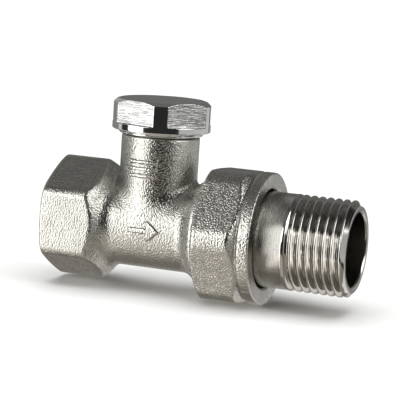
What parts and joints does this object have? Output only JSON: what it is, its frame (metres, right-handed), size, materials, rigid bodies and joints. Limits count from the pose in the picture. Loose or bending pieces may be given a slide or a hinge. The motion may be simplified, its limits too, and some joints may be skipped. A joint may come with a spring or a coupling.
{
  "type": "lockshield valve",
  "caption": "Straight 1/2 inch lockshield radiator valve with hexagonal inlet socket, capped bonnet, union nut and threaded tailpiece.",
  "frame": {"origin": "centre of the inlet socket's end face, on the flow axis", "axes": "+X along the flow axis from inlet to tailpiece, +Z along the bonnet axis towards the cap"},
  "size_m": [0.0692, 0.0308, 0.0423],
  "materials": {
    "nickel_satin": "nickel plated over a bead-blasted forging, satin",
    "nickel_turned": "nickel plated over a turned surface",
    "chrome_polished": "chrome plated brass, polished, milled flats",
    "brass_raw": "machined brass",
    "spring_steel": "spring steel",
    "rubber_black": "EPDM rubber",
    "ptfe_white": "PTFE",
    "gasket_fibre": "pressed fibre"
  },
  "bodies": {
    "valve_body": {"body": "nickel_satin", "gland_bush": "brass_raw", "gland_oring": "rubber_black", "spindle_retaining_ring": "spring_steel"},
    "cap_gasket": {"cap_gasket": "gasket_fibre"},
    "cap": {"cap": "chrome_polished"},
    "plug": {"plug": "brass_raw", "plug_seal_washer": "rubber_black", "plug_washer_screw": "brass_raw", "spindle_oring_lower": "rubber_black", "spindle_oring_upper": "rubber_black", "spindle_backup_ring": "ptfe_white"},
    "spindle": {"spindle": "brass_raw"},
    "union_seal": {"tailpiece_oring": "rubber_black"},
    "tailpiece": {"tailpiece": "nickel_turned"},
    "union_nut": {"union_nut": "nickel_satin"}
  },
  "joints": [
    {"name": "cap_turn", "type": "hinge", "parent": "cap_gasket", "child": "cap", "pos_m": [0.023, 0, 0.0208], "axis": [0, 0, 1], "range_deg": [0, 1440]},
    {"name": "cap_lift", "type": "slide", "parent": "valve_body", "child": "cap_gasket", "axis": [0, 0, 1], "range_m": [0, 0.004]},
    {"name": "spindle_turn", "type": "hinge", "parent": "plug", "child": "spindle", "pos_m": [0.023, 0, 0.0199], "axis": [0, 0, 1], "range_deg": [0, 1080]},
    {"name": "plug_lift", "type": "slide", "parent": "valve_body", "child": "plug", "axis": [0, 0, 1], "range_m": [0, 0.003]},
    {"name": "nut_turn", "type": "hinge", "parent": "union_seal", "child": "union_nut", "pos_m": [0.0496, 0, 0], "axis": [1, 0, 0], "range_deg": [0, 1800]},
    {"name": "union_draw", "type": "slide", "parent": "valve_body", "child": "union_seal", "axis": [1, 0, 0], "range_m": [0, 0.0075]},
    {"name": "tailpiece_swivel", "type": "hinge", "parent": "union_seal", "child": "tailpiece", "pos_m": [0.0692, 0, 0], "axis": [1, 0, 0], "continuous": true}
  ],
  "couplings": [
    {"joint": "cap_turn", "follows": "cap_lift", "rad_per_m": 6283.2},
    {"joint": "spindle_turn", "follows": "plug_lift", "rad_per_m": 6283.2},
    {"joint": "nut_turn", "follows": "union_draw", "rad_per_m": 4188.8}
  ]
}
